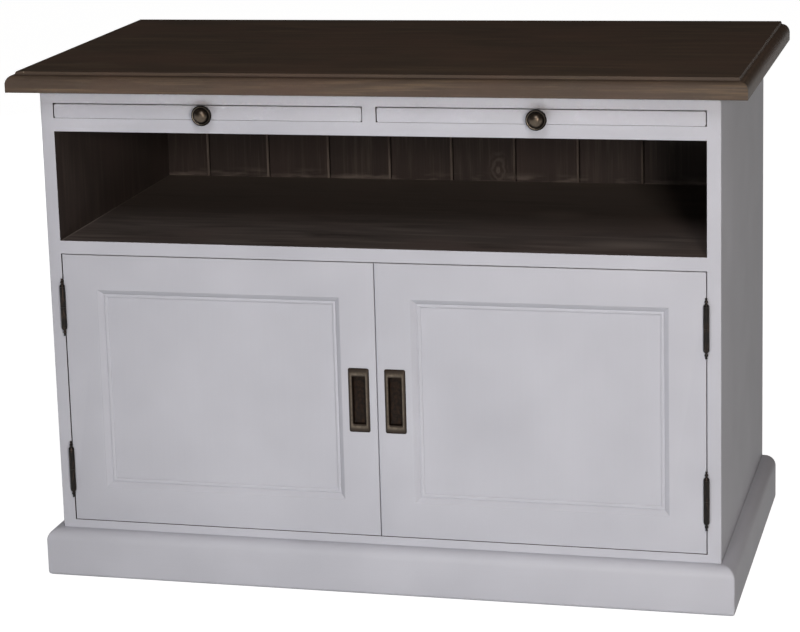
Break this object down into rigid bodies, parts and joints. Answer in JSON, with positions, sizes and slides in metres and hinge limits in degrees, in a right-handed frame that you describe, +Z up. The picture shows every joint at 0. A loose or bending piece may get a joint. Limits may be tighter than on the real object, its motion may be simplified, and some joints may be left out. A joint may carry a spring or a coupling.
{
  "type": "television sideboard",
  "caption": "Painted sideboard with a dark moulded top, pull-out trays with brass knobs, an open niche for media boxes and a cupboard with framed hinged doors, on a rounded plinth",
  "frame": {"origin": "On the floor under the middle of the overall box.", "axes": "+X to the right across the front, +Y to the back, +Z up. The doors and trays are closed at rest."},
  "size_m": [1.098, 0.58, 0.7891],
  "materials": {
    "white_paint": "satin",
    "dark_stained_wood": "satin",
    "aged_brass": "aged",
    "dark_bronze": "aged",
    "zinc_plate": "satin",
    "catch_case": "matte"
  },
  "bodies": {
    "carcass": {"back_board_01": "dark_stained_wood", "back_board_02": "dark_stained_wood", "back_board_03": "dark_stained_wood", "back_board_04": "dark_stained_wood", "back_board_05": "dark_stained_wood", "back_board_06": "dark_stained_wood", "back_board_07": "dark_stained_wood", "back_board_08": "dark_stained_wood", "back_board_09": "dark_stained_wood", "back_board_10": "dark_stained_wood", "cupboard_floor": "dark_stained_wood", "cupboard_shelf": "dark_stained_wood", "hinge_left_lower_frame_leaf": "dark_bronze", "hinge_left_lower_pin": "dark_bronze", "hinge_left_upper_frame_leaf": "dark_bronze", "hinge_left_upper_pin": "dark_bronze", "hinge_right_lower_frame_leaf": "dark_bronze", "hinge_right_lower_pin": "dark_bronze", "hinge_right_upper_frame_leaf": "dark_bronze", "hinge_right_upper_pin": "dark_bronze", "magnetic_catch": "catch_case", "niche_floor": "dark_stained_wood", "plinth_front": "white_paint", "plinth_left": "white_paint", "plinth_right": "white_paint", "shelf_bearer_left": "dark_stained_wood", "shelf_bearer_right": "dark_stained_wood", "side_panel_left": "white_paint", "side_panel_right": "white_paint", "sub_top": "dark_stained_wood", "top_panel": "dark_stained_wood", "tray_deck": "dark_stained_wood", "tray_divider": "dark_stained_wood"},
    "door_left": {"door_left_bottom_rail": "white_paint", "door_left_hinge_stile": "white_paint", "door_left_meeting_stile": "white_paint", "door_left_moulding": "white_paint", "door_left_panel": "white_paint", "door_left_pull": "aged_brass", "door_left_strike": "zinc_plate", "door_left_top_rail": "white_paint", "hinge_left_lower_door_leaf": "dark_bronze", "hinge_left_upper_door_leaf": "dark_bronze"},
    "door_right": {"door_right_bottom_rail": "white_paint", "door_right_hinge_stile": "white_paint", "door_right_meeting_stile": "white_paint", "door_right_moulding": "white_paint", "door_right_panel": "white_paint", "door_right_pull": "aged_brass", "door_right_strike": "zinc_plate", "door_right_top_rail": "white_paint", "hinge_right_lower_door_leaf": "dark_bronze", "hinge_right_upper_door_leaf": "dark_bronze"},
    "tray_left": {"tray_left_board": "dark_stained_wood", "tray_left_front": "white_paint", "tray_left_knob": "aged_brass"},
    "tray_right": {"tray_right_board": "dark_stained_wood", "tray_right_front": "white_paint", "tray_right_knob": "aged_brass"}
  },
  "joints": [
    {"name": "door_left_hinge", "type": "hinge", "parent": "carcass", "child": "door_left", "pos_m": [-0.48725, -0.2598, 0.2965], "axis": [0, 0, -1], "range_deg": [0, 170]},
    {"name": "door_right_hinge", "type": "hinge", "parent": "carcass", "child": "door_right", "pos_m": [0.48725, -0.2598, 0.2965], "axis": [0, 0, 1], "range_deg": [0, 170]},
    {"name": "tray_left_slide", "type": "slide", "parent": "carcass", "child": "tray_left", "axis": [0, -1, 0], "range_m": [0, 0.32]},
    {"name": "tray_right_slide", "type": "slide", "parent": "carcass", "child": "tray_right", "axis": [0, -1, 0], "range_m": [0, 0.32]}
  ]
}
